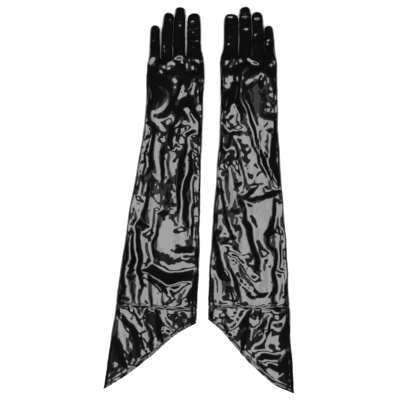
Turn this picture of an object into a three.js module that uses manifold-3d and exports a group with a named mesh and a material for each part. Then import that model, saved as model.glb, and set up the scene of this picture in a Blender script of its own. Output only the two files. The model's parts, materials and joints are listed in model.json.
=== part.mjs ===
// A pair of opera-length gloves in black patent vinyl, lying palm down with the thumbs folded
// under the palms. Millimetres. +Z is up, +Y runs from the cuffs to the fingertips, +X from the
// left glove to the right one. Z = 0 is the surface that the gloves lie on.
//
// Both gloves are cut from one pattern. A point of the pattern is (a, s): a is the distance out
// from the glove's centre line towards the little finger, s the distance from the cuff seam
// towards the fingertips. The left glove is the same code in a mirrored group.

import * as THREE from "three";
import Module from "manifold-3d";
import { mergeVertices } from "three/addons/utils/BufferGeometryUtils.js";

const wasm = await Module();
wasm.setup();

// ---- Driving dimensions -------------------------------------------------------------------

const WALL = 0.8; // coated vinyl on its knit backing
const SEAM_GAP = 0.3; // clear space between two panels at a seam
const HEM_WALL = 1.6; // the hem is two layers

// Widths of the flat glove, as [s, width].
const WIDTHS = [
  [-140, 136],
  [0, 122.5],
  [50, 119],
  [110, 111],
  [160, 104],
  [220, 93.5],
  [270, 87],
  [310, 86],
  [375, 85.5],
];

const ELBOW_S = 50;
const WRIST_S = 270;
const KNUCKLE_S = 365;
const FOLD_GAP = 0.4; // from a fold line to the panel's edge, where the axis is in a face
const WRIST_GAP = 4.5; // the same at the wrist, where the axis is in mid thickness
const KNUCKLE_GAP = 3.6; // over a knuckle, on the back of the hand
const KNUCKLE_CLEAR = 2; // from the hand's edge to the line through the finger roots

// Heights of the lying glove.
const SLEEVE_HEIGHT = 14;
const HEM_HEIGHT = 10;
const HAND_HEIGHT = 13;
const THUMB_LIFT = 9; // the palm lies this high, on the folded thumb
const KNUCKLE_LIFT = 7;
const LIFT_START_S = 278;
const LIFT_END_S = 300;
const LIFT_FALL_S = 345;

// The pointed cuff's hem, from its inner corner to its point, as a Bezier in (a, s).
const HEM = new THREE.CubicBezierCurve(
  new THREE.Vector2(-61.5, -20),
  new THREE.Vector2(-25, -38),
  new THREE.Vector2(0, -100),
  new THREE.Vector2(68, -130),
);
const HEM_BAND = 5;

// Across a panel: place as a share of the half width, and rise as a share of the height.
const SLEEVE_SECTION = [
  [-1, 0],
  [-0.9, 0.6],
  [-0.7, 1],
  [0.7, 1],
  [0.9, 0.6],
  [1, 0],
];
const CUFF_SECTION = [
  [-1, 0],
  [-0.9, 0.6],
  [-0.7, 1],
  [-0.42, 1],
  [-0.14, 1],
  [0.14, 1],
  [0.42, 1],
  [0.7, 1],
  [0.9, 0.6],
  [1, 0],
];

// Fingers: a at the root, width there, and the root's and the tip's s past the knuckle line.
const FINGERS = {
  index: { a: -28.6, width: 24, root: 7, length: 68.5 },
  middle: { a: -5.2, width: 19, root: 6, length: 79.2 },
  ring: { a: 14.1, width: 18.2, root: 3.4, length: 73 },
  pinky: { a: 32.8, width: 17.6, root: 0, length: 56.5 },
};
const FINGER_HEIGHT = 12;
const FINGER_CORNER = 0.55; // height of the seam on a finger's side, as a share
const FINGER_FLAT = 0.7; // half width of a finger's flat back, as a share
const TIP_LENGTH = 7;

// The thumb, folded under the palm: root, tip and widths.
const THUMB = {
  root: new THREE.Vector2(-27.5, 303),
  tip: new THREE.Vector2(-15.5, 356),
  rootWidth: 25,
  tipWidth: 19,
  bottom: 0,
  height: 7,
};
const THUMB_HOLE = { a: -27.5, s: 289, width: 21, length: 15 };

// How each glove lies: the cuff seam's middle, the wrist's corner, and each finger's tip.
const LAYS = {
  left: {
    foot: new THREE.Vector2(65.4, -160),
    corner: new THREE.Vector2(36.5, 150),
    tips: {
      index: [-26.9, 19.4],
      middle: [-6.9, 16.2],
      ring: [10.2, 16.9],
      pinky: [30.2, 15.4],
    },
  },
  right: {
    foot: new THREE.Vector2(73.2, -160),
    corner: new THREE.Vector2(73.2, 150),
    tips: {
      index: [-25.7, 20.4],
      middle: [-5.6, 17.4],
      ring: [12.6, 17.6],
      pinky: [30.2, 14],
    },
  },
};
const WRIST_BEND = 45; // the centre line turns over this length each side of the corner
const KNUCKLE_Y = 205; // the knuckle line's place, on both gloves

// ---- Materials ----------------------------------------------------------------------------

const patentVinyl = new THREE.MeshStandardMaterial({
  name: "patent_vinyl",
  color: 0x0b0b0c,
  roughness: 0.08,
  metalness: 0,
});
const hemVinyl = new THREE.MeshStandardMaterial({
  name: "hem_vinyl",
  color: 0x0d0d0e,
  roughness: 0.12,
  metalness: 0,
});

// ---- The pattern's curves -----------------------------------------------------------------

// Reads a table of [s, value] rows, straight between them.
function along(table, s) {
  const i = table.findIndex((row) => row[0] >= s);
  if (i <= 0) return table[i < 0 ? table.length - 1 : 0][1];
  const [s0, v0] = table[i - 1];
  const [s1, v1] = table[i];
  return THREE.MathUtils.mapLinear(s, s0, s1, v0, v1);
}

const halfWidth = (s) => along(WIDTHS, s) / 2;

// Height of the glove's underside.
function bottom(s) {
  const rise = THUMB_LIFT * THREE.MathUtils.smoothstep(s, LIFT_START_S, LIFT_END_S);
  const fall = (THUMB_LIFT - KNUCKLE_LIFT) * THREE.MathUtils.smoothstep(s, LIFT_FALL_S, KNUCKLE_S);
  return rise - fall;
}

// Height of its upper side: the sleeve's, thinning evenly to the cuff's point, or the hand's.
function top(s) {
  if (s < 0) return SLEEVE_HEIGHT + ((SLEEVE_HEIGHT - HEM_HEIGHT) * s) / -HEM.v3.y;
  const hand = THREE.MathUtils.smoothstep(s, WRIST_S, LIFT_END_S);
  return bottom(s) + THREE.MathUtils.lerp(SLEEVE_HEIGHT, HAND_HEIGHT, hand);
}

// Carries a pattern point to its place along a glove's bent centre line.
function layer(lay) {
  const straight = lay.corner.clone().sub(lay.foot);
  const reach = straight.length();
  const sleeveWay = straight.normalize();
  const handWay = new THREE.Vector2(0, 1);
  const bendStart = lay.foot.clone().addScaledVector(sleeveWay, reach - WRIST_BEND);
  const bendEnd = lay.corner.clone().addScaledVector(handWay, WRIST_BEND);
  const bend = new THREE.QuadraticBezierCurve(bendStart, lay.corner, bendEnd);
  const handStart = KNUCKLE_Y - KNUCKLE_S;

  return (a, s, z) => {
    const share = (s - reach + WRIST_BEND) / (2 * WRIST_BEND);
    let centre = lay.foot.clone().addScaledVector(sleeveWay, s);
    let way = sleeveWay;
    if (share > 0) {
      centre = bend.getPoint(Math.min(share, 1));
      way = bend.getTangent(Math.min(share, 1));
    }
    if (share > 1) centre = new THREE.Vector2(lay.corner.x, s + handStart);
    return new THREE.Vector3(centre.x + a * way.y, centre.y - a * way.x, z);
  };
}

// ---- Solids from formed sheets ------------------------------------------------------------

// A sheet of columns by rows cells, formed point by point: form(column, row, depth) gives the
// point, where depth is 1 on the outer face and 0 on the inner one.
function formedSheet(columns, rows, form) {
  const geometry = new THREE.BoxGeometry(columns, rows, 1, columns, rows, 1);
  const place = geometry.getAttribute("position");
  for (let i = 0; i < place.count; i += 1) {
    const column = Math.round(place.getX(i) + columns / 2);
    const row = Math.round(place.getY(i) + rows / 2);
    const point = form(column, row, place.getZ(i) > 0 ? 1 : 0);
    place.setXYZ(i, point.x, point.y, point.z);
  }
  geometry.computeVertexNormals();
  return geometry;
}

// Turns a sheet's faces round, for a panel that is formed face down.
function turnedOver(geometry) {
  const index = geometry.index;
  for (let i = 0; i < index.count; i += 3) {
    const first = index.getX(i);
    index.setX(i, index.getX(i + 1));
    index.setX(i + 1, first);
  }
  geometry.computeVertexNormals();
  return geometry;
}

function solid(geometry) {
  const bare = geometry.clone();
  bare.deleteAttribute("normal");
  bare.deleteAttribute("uv");
  const merged = mergeVertices(bare, 1e-4);
  return new wasm.Manifold(
    new wasm.Mesh({
      numProp: 3,
      vertProperties: new Float32Array(merged.attributes.position.array),
      triVerts: new Uint32Array(merged.index.array),
    }),
  );
}

function cutAway(geometry, tool) {
  const mesh = solid(geometry).subtract(solid(tool)).getMesh();
  const made = new THREE.BufferGeometry();
  made.setAttribute("position", new THREE.BufferAttribute(mesh.vertProperties, 3));
  made.setIndex(new THREE.BufferAttribute(mesh.triVerts, 1));
  made.computeVertexNormals();
  return made;
}

function piece(name, geometry, material = patentVinyl) {
  const mesh = new THREE.Mesh(geometry, material);
  mesh.name = name;
  return mesh;
}

// ---- Panels of the sleeve, hand and cuff --------------------------------------------------

// The rows of a panel between two lines across the glove, about 20 mm apart.
function rowsBetween(from, to, pitch = 20) {
  const count = Math.max(1, Math.round((to - from) / pitch));
  return Array.from({ length: count + 1 }, (_, i) => from + ((to - from) * i) / count);
}

// One side of the flattened tube: facing is 1 for the back of the glove, -1 for the palm side.
function tubePanel(place, rows, facing) {
  const form = (column, row, depth) => {
    const [share, rise] = SLEEVE_SECTION[column];
    const s = rows[row];
    const thin = WALL * (1 - depth);
    const middle = (top(s) + bottom(s)) / 2;
    const height = (top(s) - bottom(s)) / 2 - SEAM_GAP / 2 - thin;
    return place(
      share * (halfWidth(s) - thin),
      s,
      middle + facing * (SEAM_GAP / 2 + rise * height),
    );
  };
  const made = formedSheet(SLEEVE_SECTION.length - 1, rows.length - 1, form);
  return facing > 0 ? made : turnedOver(made);
}

// A point of the cuff: share runs across it, fall from the cuff seam (0) to the line that lies
// inset from the hem (1).
function cuffPoint(share, fall, inset) {
  const t = (share + 1) / 2;
  const hem = HEM.getPoint(t);
  const way = HEM.getTangent(t);
  hem.y += inset / Math.abs(way.x);
  const seam = new THREE.Vector2(share * halfWidth(0), -FOLD_GAP);
  return seam.lerp(hem, fall);
}

function cuffPanel(place, facing, rows, wall, fallOf, insetOf) {
  const form = (column, row, depth) => {
    const [share, rise] = CUFF_SECTION[column];
    const thin = wall * (1 - depth);
    const at = cuffPoint(share, fallOf(row), insetOf(row));
    const inner = Math.sign(share) * thin * share ** 4;
    const middle = top(at.y) / 2;
    const height = top(at.y) / 2 - SEAM_GAP / 2 - thin;
    return place(at.x - inner, at.y, middle + facing * (SEAM_GAP / 2 + rise * height));
  };
  const made = formedSheet(CUFF_SECTION.length - 1, rows, form);
  // These rows run down from the seam, so the sheet faces the other way to the sleeve's.
  return facing > 0 ? turnedOver(made) : made;
}

// ---- Digits -------------------------------------------------------------------------------

// A digit's frame: root and tip in (a, s), half widths and heights there, as functions of the
// share of its length.
function digit({ root, tip, rootWidth, tipWidth, height, rootBottom, tipBottom }) {
  const way = tip.clone().sub(root);
  const length = way.length();
  way.normalize();
  const across = new THREE.Vector2(way.y, -way.x);
  const bodyEnd = length - TIP_LENGTH;
  // Rows: distance along, and how full the digit is there, narrowing to the tip's seam.
  const rows = [
    { at: 0, full: 1, high: 1 },
    { at: bodyEnd * 0.35, full: 1, high: 1 },
    { at: bodyEnd * 0.7, full: 1, high: 1 },
    { at: bodyEnd, full: 1, high: 1 },
    { at: bodyEnd + TIP_LENGTH * 0.6, full: 0.86, high: 0.78 },
    { at: length, full: 0.48, high: 0.3 },
  ];
  return { root, way, across, length, rows, rootWidth, tipWidth, height, rootBottom, tipBottom };
}

// A point on a digit's skin: side is the share of its half width, rise the signed share of its
// half height, depth 1 outside and 0 inside; shift moves it up, to clear a seam.
function digitPoint(place, d, row, side, rise, depth, shift, start) {
  const { at, full, high } = d.rows[row];
  const along = Math.max(at, start);
  const share = along / d.length;
  const thin = WALL * (1 - depth);
  const half = (THREE.MathUtils.lerp(d.rootWidth, d.tipWidth, share) / 2) * full - thin;
  const tall = (d.height / 2) * high - thin;
  const middle = THREE.MathUtils.lerp(d.rootBottom, d.tipBottom, share) + d.height / 2;
  const at2 = d.root.clone().addScaledVector(d.way, along).addScaledVector(d.across, side * half);
  return place(at2.x, at2.y, middle + rise * tall + shift);
}

// The seam's height on a digit's side runs out to the middle at its tip.
const cornerRise = (d, row) => (row === d.rows.length - 1 ? 0.06 : FINGER_CORNER);

// The back or palm strip of a digit. A closed side has a fourchette, so the strip stops at its
// upper corner there; on an open side it goes on down to the side seam.
function digitStrip(place, d, facing, innerOpen, outerOpen, start) {
  const columns = [];
  if (innerOpen) columns.push([-1, 0]);
  columns.push([-1, "corner"], [-FINGER_FLAT, 1], [FINGER_FLAT, 1], [1, "corner"]);
  if (outerOpen) columns.push([1, 0]);
  const form = (column, row, depth) => {
    const [side, mark] = columns[column];
    const rise = mark === "corner" ? cornerRise(d, row) : mark;
    const shift = facing * SEAM_GAP;
    return digitPoint(place, d, row, side, facing * rise, depth, shift, start);
  };
  const made = formedSheet(columns.length - 1, d.rows.length - 1, form);
  return facing > 0 ? made : turnedOver(made);
}

// A fourchette: the strip that makes a finger's side wall, between its back and palm strips.
function fourchette(place, d, side, start) {
  const form = (column, row, depth) => {
    const facing = column === 0 ? 1 : -1;
    return digitPoint(place, d, row, side, facing * cornerRise(d, row), depth, 0, start);
  };
  const made = formedSheet(1, d.rows.length - 1, form);
  return side > 0 ? made : turnedOver(made);
}

function fingerDigit(name, lay) {
  const cut = FINGERS[name];
  const [tipA, tipWidth] = lay.tips[name];
  return digit({
    root: new THREE.Vector2(cut.a, KNUCKLE_S + cut.root),
    tip: new THREE.Vector2(tipA, KNUCKLE_S + cut.root + cut.length),
    rootWidth: cut.width,
    tipWidth,
    height: FINGER_HEIGHT,
    rootBottom: KNUCKLE_LIFT,
    tipBottom: 0,
  });
}

// Which digits lie next to each finger: a fourchette closes that side.
const NEIGHBOURS = {
  index: { outer: "middle" },
  middle: { inner: "index", outer: "ring" },
  ring: { inner: "middle", outer: "pinky" },
  pinky: { inner: "ring" },
};

function finger(hand, name, place, lay) {
  const d = fingerDigit(name, lay);
  const { inner, outer } = NEIGHBOURS[name];
  const group = new THREE.Group();
  const strip = (facing, start) => digitStrip(place, d, facing, !inner, !outer, start);
  group.add(piece(`${hand}_${name}_back`, strip(1, KNUCKLE_GAP)));
  group.add(piece(`${hand}_${name}_palm`, strip(-1, FOLD_GAP)));
  if (inner) {
    const wall = fourchette(place, d, -1, KNUCKLE_GAP);
    group.add(piece(`${hand}_${name}_fourchette_by_${inner}`, wall));
  }
  if (outer) {
    const wall = fourchette(place, d, 1, KNUCKLE_GAP);
    group.add(piece(`${hand}_${name}_fourchette_by_${outer}`, wall));
  }
  return group;
}

function thumb(hand, place) {
  const d = digit({ ...THUMB, rootBottom: THUMB.bottom, tipBottom: THUMB.bottom });
  const group = new THREE.Group();
  for (const [side, facing] of [["back", 1], ["palm", -1]]) {
    const strip = digitStrip(place, d, facing, true, true, 0);
    // The strips stand clear of each other by two gaps; the lower one rests on the surface.
    strip.translate(0, 0, SEAM_GAP);
    group.add(piece(`${hand}_thumb_${side}`, strip));
  }
  return group;
}

// ---- The hand -----------------------------------------------------------------------------

// Where the hand's panels end under each finger's root: the knuckle line falls off towards the
// little finger, as a hand's does.
function knuckleLine(share) {
  const roots = Object.values(FINGERS).map((f) => [f.a, KNUCKLE_S + f.root]);
  return along(roots, share * halfWidth(KNUCKLE_S));
}

// A side of the hand, with columns enough to follow the knuckle line.
function handPanel(place, facing) {
  const section = [
    [-1, 0],
    [-0.9, 0.6],
    [-0.7, 1],
    [-0.12, 1],
    [0.33, 1],
    [0.7, 1],
    [0.9, 0.6],
    [1, 0],
  ];
  const rows = rowsBetween(0, 1, 1 / 9);
  const start = WRIST_S + WRIST_GAP;
  const form = (column, row, depth) => {
    const [share, rise] = section[column];
    const s = THREE.MathUtils.lerp(start, knuckleLine(share) - KNUCKLE_CLEAR, rows[row]);
    const thin = WALL * (1 - depth);
    const middle = (top(s) + bottom(s)) / 2;
    const height = (top(s) - bottom(s)) / 2 - SEAM_GAP / 2 - thin;
    return place(
      share * (halfWidth(s) - thin),
      s,
      middle + facing * (SEAM_GAP / 2 + rise * height),
    );
  };
  const made = formedSheet(section.length - 1, rows.length - 1, form);
  return facing > 0 ? made : turnedOver(made);
}

// The hole in the palm that the thumb is sewn into.
function thumbHole(place) {
  const tool = new THREE.BoxGeometry(THUMB_HOLE.width, THUMB_HOLE.length, THUMB_LIFT * 2);
  const centre = place(THUMB_HOLE.a, THUMB_HOLE.s, bottom(THUMB_HOLE.s));
  tool.translate(centre.x, centre.y, centre.z);
  return tool;
}

// ---- A glove ------------------------------------------------------------------------------

function glove(hand, lay) {
  const place = layer(lay);
  const group = new THREE.Group();
  const sides = [["back", 1], ["palm", -1]];

  const forearmRows = rowsBetween(ELBOW_S + FOLD_GAP, WRIST_S - WRIST_GAP);
  const upperRows = rowsBetween(FOLD_GAP, ELBOW_S - FOLD_GAP, 25);
  for (const [side, facing] of sides) {
    group.add(piece(`${hand}_forearm_${side}`, tubePanel(place, forearmRows, facing)));
    group.add(piece(`${hand}_upper_sleeve_${side}`, tubePanel(place, upperRows, facing)));
    const panel = handPanel(place, facing);
    const made = facing > 0 ? panel : cutAway(panel, thumbHole(place));
    group.add(piece(`${hand}_hand_${side}`, made));
  }

  const cuffRows = 5;
  const panelInset = HEM_BAND + SEAM_GAP;
  for (const [side, facing] of sides) {
    const fallOf = (row) => row / cuffRows;
    const cuff = cuffPanel(place, facing, cuffRows, WALL, fallOf, () => panelInset);
    group.add(piece(`${hand}_cuff_${side}`, cuff));
    const insetOf = (row) => HEM_BAND * (1 - row);
    const hem = cuffPanel(place, facing, 1, HEM_WALL, () => 1, insetOf);
    group.add(piece(`${hand}_hem_${side}`, hem, hemVinyl));
  }

  for (const name of Object.keys(FINGERS)) group.add(finger(hand, name, place, lay));
  group.add(thumb(hand, place));
  return group;
}

const pair = new THREE.Group();
const left = glove("left", LAYS.left);
left.scale.x = -1;
pair.add(left, glove("right", LAYS.right));

// The pair's own frame has its origin under the middle of its bounding box.
pair.updateMatrixWorld(true);
const box = new THREE.Box3().setFromObject(pair, true);
const middle = box.getCenter(new THREE.Vector3());
pair.position.set(-middle.x, -middle.y, -box.min.z);

export default pair;
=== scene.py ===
# %% [markdown]
# # A pair of opera gloves in black patent vinyl
#
# The gloves lie palm down, side by side. Each one is a flat bag of glossy film on a thin knit:
# a long sleeve, a hand with four stalls, a thumb folded under the palm and a pointed cuff.
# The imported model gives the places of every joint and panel. Cloth is then built on them.
#
# The order here is a glove maker's: pattern, sewing, folds, pressing, finishing, lighting.

# %% Load the frame
import json
import math

import bmesh
import bpy
import numpy as np
from mathutils import Matrix, Vector, noise
from mathutils.bvhtree import BVHTree


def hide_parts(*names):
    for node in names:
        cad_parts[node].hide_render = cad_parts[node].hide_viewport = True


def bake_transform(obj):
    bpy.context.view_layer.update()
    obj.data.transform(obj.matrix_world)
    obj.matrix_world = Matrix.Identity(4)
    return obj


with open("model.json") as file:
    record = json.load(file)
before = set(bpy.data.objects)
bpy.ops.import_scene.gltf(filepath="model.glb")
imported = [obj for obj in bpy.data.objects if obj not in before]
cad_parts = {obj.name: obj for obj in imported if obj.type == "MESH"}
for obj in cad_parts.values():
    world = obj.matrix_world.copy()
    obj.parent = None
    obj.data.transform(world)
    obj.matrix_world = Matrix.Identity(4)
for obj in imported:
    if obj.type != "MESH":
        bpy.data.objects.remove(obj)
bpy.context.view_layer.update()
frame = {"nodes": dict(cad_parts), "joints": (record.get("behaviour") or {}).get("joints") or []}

MM = 0.001
JOINTS = {joint["name"]: joint for joint in frame["joints"]}
print("joints:", len(JOINTS), "nodes:", len(frame["nodes"]))

# %% [markdown]
# ## The pattern
#
# A glove is cut flat, so a point of it is best named as on the cutting table: `a`, the distance
# out from the middle line towards the little finger, and `s`, the distance from the cuff seam
# towards the fingertips. One set of curves then cuts both gloves, and the left one is mirrored.

# %% Pattern dimensions, in millimetres
# The glove's flat width at places along it: (s, width).
WIDTHS = (
    (-140, 136), (0, 122.5), (50, 119), (110, 111), (160, 104), (220, 93.5),
    (270, 87), (310, 86), (375, 85.5),
)
ELBOW_S = 50
KNUCKLE_S = 365
WRIST_S = 270
KNUCKLE_Y = 205
CORNER_Y = 150  # where the sleeve's line meets the hand's
WRIST_BEND = 45  # the centre line curves this far to each side of that corner
SLEEVE_HEIGHT = 14  # heights of the laid glove, palm side to back
HEM_HEIGHT = 10
HAND_HEIGHT = 13
THUMB_LIFT = 9  # how high the folded thumb holds the palm off the table
KNUCKLE_LIFT = 7
LIFT_START, LIFT_END, LIFT_FALL = 185, 316, 345
CUFF_REACH = 130  # from the cuff seam to the cuff's point
# The hem from its inner corner to its point, as four control points (a, s).
HEM_POINTS = {
    "left": ((-61.5, -20), (-25, -34), (0, -87), (68, -CUFF_REACH)),
    "right": ((-61.5, -20), (-25, -38), (0, -108), (68, -CUFF_REACH)),
}
HEM_BAND = 5  # width of the turned hem

# A finger: root a, root width, root s, length, and the tip's a and width on the two gloves.
FINGERS = {
    "index": (-28.6, 24.0, 372.0, 68.5, (-26.9, 19.4), (-25.7, 20.4)),
    "middle": (-5.2, 19.0, 371.0, 79.2, (-6.9, 16.2), (-5.6, 17.4)),
    "ring": (14.1, 18.2, 368.4, 73.0, (10.2, 16.9), (12.6, 17.6)),
    "pinky": (32.8, 17.6, 365.0, 56.5, (30.2, 15.4), (30.2, 14.0)),
}
NAMES = tuple(FINGERS)
# Where neighbouring stalls meet the hand, and its two sides: (a, s).
CROTCHES = ((-42.8, 370), (-15.7, 371.5), (4.65, 369.5), (23.6, 359), (42.8, 361))


def half_width(s):
    """Half the glove's flat width at s."""
    return np.interp(s, *zip(*WIDTHS)) / 2


def ease(x, low, high):
    """0 before low, 1 after high, and smooth between."""
    t = np.clip((x - low) / (high - low), 0, 1)
    return t * t * (3 - 2 * t)


def bottom(s):
    """Height of the glove's underside, which the folded thumb lifts off the table."""
    fall = (THUMB_LIFT - KNUCKLE_LIFT) * ease(s, LIFT_FALL, KNUCKLE_S)
    return THUMB_LIFT * ease(s, LIFT_START, LIFT_END) - fall


def top(s):
    """Height of its upper side."""
    sleeve = SLEEVE_HEIGHT + (SLEEVE_HEIGHT - HEM_HEIGHT) * np.minimum(s, 0) / CUFF_REACH
    hand = ease(s, WRIST_S, LIFT_END)
    return bottom(s) + sleeve * (1 - hand) + HAND_HEIGHT * hand


print("glove:", KNUCKLE_S + CUFF_REACH, "mm from the cuff's point to the knuckles")

# %% Lay the pattern on the table, from the joints of the frame
def find_lay(hand):
    """Where one glove lies: its cuff end, its sleeve's direction and its hand's middle line."""
    mirror = -1 if hand == "left" else 1
    foot = np.array(JOINTS[f"{hand}_cuff_fold"]["pos_m"][:2]) / MM
    elbow = np.array(JOINTS[f"{hand}_elbow_fold"]["pos_m"][:2]) / MM
    way = (elbow - foot) / np.linalg.norm(elbow - foot)
    index_x = JOINTS[f"{hand}_index_knuckle"]["pos_m"][0] / MM
    hand_x = index_x - mirror * FINGERS["index"][0]
    reach = (CORNER_Y - foot[1]) / way[1]
    corner = foot + way * reach
    corner[0] = hand_x
    return {"mirror": mirror, "foot": foot, "way": way, "corner": corner, "reach": reach}


def lay_out(lay, a, s, z):
    """Carry pattern points (a, s, z), in millimetres, to their places in metres."""
    a, s, z = (np.asarray(v, float) for v in (a, s, z))
    reach, corner, way = lay["reach"], lay["corner"], lay["way"]
    t = np.clip((s - reach + WRIST_BEND) / (2 * WRIST_BEND), 0, 1)[:, None]
    start = lay["foot"] + way * (reach - WRIST_BEND)
    end = corner + np.array((0, WRIST_BEND))
    bend = (1 - t) ** 2 * start + 2 * t * (1 - t) * corner + t * t * end
    turn = (1 - t) * (corner - start) + t * (end - corner)
    turn /= np.linalg.norm(turn, axis=1)[:, None]
    straight = lay["foot"] + way * s[:, None]
    up = np.stack((np.full_like(s, corner[0]), s + KNUCKLE_Y - KNUCKLE_S), 1)
    share = (s - reach + WRIST_BEND)[:, None]
    centre = np.where(share <= 0, straight, np.where(share >= 2 * WRIST_BEND, up, bend))
    side = lay["mirror"] * a[:, None] * np.stack((turn[:, 1], -turn[:, 0]), 1)
    return np.concatenate((centre + side, z[:, None]), 1) * MM


LAYS = {hand: find_lay(hand) for hand in ("left", "right")}
print("sleeve directions:", {hand: lay["way"].round(3).tolist() for hand, lay in LAYS.items()})

# %% [markdown]
# ## Sewing the bag
#
# The whole glove is made as one even net, so that folds can run across seams. A grid is the flat
# of the hand and sleeve. Its top edge is extruded finger by finger. The flat sheet is then
# extruded upwards in four steps: the first sheet is the palm side, the last one the back, and the
# four steps between are the side seams and the fourchettes. Every vertex keeps its row, column
# and level of the net, and the pattern curves put it in place.

# %% The net
COLUMN_EDGES = []  # the net's columns, as places across the knuckle line
for (low, _), (high, _), cells in zip(CROTCHES, CROTCHES[1:], (10, 8, 8, 8)):
    COLUMN_EDGES += list(np.linspace(low, high, cells + 1)[:-1])
COLUMN_EDGES.append(CROTCHES[-1][0])
COLUMN_SHARES = np.array(COLUMN_EDGES) / CROTCHES[-1][0]
FINGER_CELLS = ((0, 10), (10, 18), (18, 26), (26, 34))
COLUMNS = len(COLUMN_SHARES) - 1
CUFF_ROWS = 28
BAND_ROWS = 2
SLEEVE_ROWS = 124
ROWS = CUFF_ROWS + SLEEVE_ROWS
LEVELS = 4
FINGER_PITCH = 3.0  # distance between a stall's rows
TIP_ANGLES = (24, 46, 65, 82)  # rows that close a fingertip, in degrees round it
NARROW = 0.9  # finger columns draw in by this, so that neighbours part


def finger_rows(name):
    """How far along a finger each of its rows lies, closing up round the tip."""
    length = FINGERS[name][3]
    radius = FINGERS[name][4][1] / 2
    body = length - radius
    count = round(body / FINGER_PITCH)
    straight = [body * i / count for i in range(1, count + 1)]
    turn = [body + radius * math.sin(math.radians(a)) for a in TIP_ANGLES]
    return straight + turn


def raise_sheet(bm):
    """Extrude a flat sheet upwards into a bag, and open it at row 0."""
    faces = list(bm.faces)
    for level in range(LEVELS):
        made = bmesh.ops.extrude_face_region(bm, geom=faces, use_keep_orig=True)["geom"]
        verts = [v for v in made if isinstance(v, bmesh.types.BMVert)]
        bmesh.ops.translate(bm, vec=(0, 0, 1), verts=verts)
        if level:
            bmesh.ops.delete(bm, geom=faces, context="FACES_ONLY")
        faces = [f for f in made if isinstance(f, bmesh.types.BMFace)]
    bmesh.ops.delete(bm, geom=[e for e in bm.edges if not e.link_faces], context="EDGES")
    bmesh.ops.delete(bm, geom=[v for v in bm.verts if not v.link_faces], context="VERTS")
    mouth = [f for f in bm.faces if all(v.co.y < 0.1 for v in f.verts)]
    bmesh.ops.delete(bm, geom=mouth, context="FACES")
    bmesh.ops.recalc_face_normals(bm, faces=bm.faces)


def rank(place):
    """One number for a place in the net: level first, then row, then column."""
    return place.z * 1e6 + place.y * 1e3 + place.x


def put_in_order(bm):
    """Number the net's parts by their places, so that every run makes the same net."""
    bm.verts.sort(key=lambda vert: rank(vert.co))
    bm.edges.sort(key=lambda edge: rank((edge.verts[0].co + edge.verts[1].co) / 2))
    bm.faces.sort(key=lambda face: rank(face.calc_center_median()))


def sew_net(name):
    """The closed bag as a net of unit cells, open only at the cuff."""
    bm = bmesh.new()
    bmesh.ops.create_grid(bm, x_segments=COLUMNS, y_segments=ROWS, size=0.5)
    bmesh.ops.scale(bm, vec=(COLUMNS, ROWS, 1), verts=bm.verts)
    bmesh.ops.translate(bm, vec=(COLUMNS / 2, ROWS / 2, 0), verts=bm.verts)
    for finger, (first, last) in zip(NAMES, FINGER_CELLS):
        edges = [
            e for e in bm.edges
            if all(v.co.y > ROWS - 0.1 and first - 0.1 < v.co.x < last + 0.1 for v in e.verts)
            and abs(e.verts[0].co.y - e.verts[1].co.y) < 0.1 and e.is_boundary
        ]
        for row in range(len(finger_rows(finger))):
            made = bmesh.ops.extrude_edge_only(bm, edges=edges)["geom"]
            verts = [v for v in made if isinstance(v, bmesh.types.BMVert)]
            edges = [e for e in made if isinstance(e, bmesh.types.BMEdge)]
            bmesh.ops.translate(bm, vec=(0, 1, 0), verts=verts)
            if row == 0:
                centre = Vector(((first + last) / 2, 0, 0))
                space = Matrix.Translation(-centre)
                bmesh.ops.scale(bm, vec=(NARROW, 1, 1), verts=verts, space=space)
    raise_sheet(bm)
    put_in_order(bm)
    mesh = bpy.data.meshes.new(name)
    bm.to_mesh(mesh)
    bm.free()
    return mesh


def net_places(mesh):
    """Column, row and level of every vertex of the net."""
    co = np.empty(len(mesh.vertices) * 3)
    mesh.vertices.foreach_get("co", co)
    return co.reshape(-1, 3).T.copy()


net = sew_net("glove_net")
print("net:", len(net.vertices), "vertices,", len(net.polygons), "cells")

# %% [markdown]
# ## Shaping the bag
#
# An empty glove lies as a flat tube: level on top, thin at its side seams. Its section is a
# flattened oval, fuller in the stalls. Height is kept apart from place here, so that folds can be
# added to it before the net becomes a mesh.

# %% Section of the tube and place of each net point
EDGE_RISE = (-0.24, -0.12, 0.0, 0.12, 0.24)  # the five levels at a side seam
STALL_RISE = (-0.52, -0.27, 0.0, 0.27, 0.52)  # and at a finger's side
SIDE_TUCK, STALL_TUCK = 0.7, 0.9  # how far a side seam draws in, in millimetres
SLEEVE_OVAL, STALL_OVAL = 5, 2.6  # powers of the section's curve: higher is flatter on top
TIP_POWER = 2.5  # a little blunter than a round tip
STALL_HEIGHT, STALL_MIDDLE = 11.6, 6
ROOT_LENGTH = 13  # a stall takes over from the hand's section within this


def oval(u, edge, power):
    """Height of a flattened oval across it, from the middle (1) down to edge at |u| = 1."""
    full = 1 - edge ** 2
    return np.sqrt(np.clip(1 - full * np.abs(u) ** power, 0, 1))


def hem_line(hand, t):
    """The cuff's hem as a Bezier from its inner corner to its point."""
    t = t[:, None]
    p = np.array(HEM_POINTS[hand], float)
    return (1 - t) ** 3 * p[0] + 3 * t * (1 - t) ** 2 * p[1] + 3 * t * t * (1 - t) * p[2] + t ** 3 * p[3]


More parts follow.
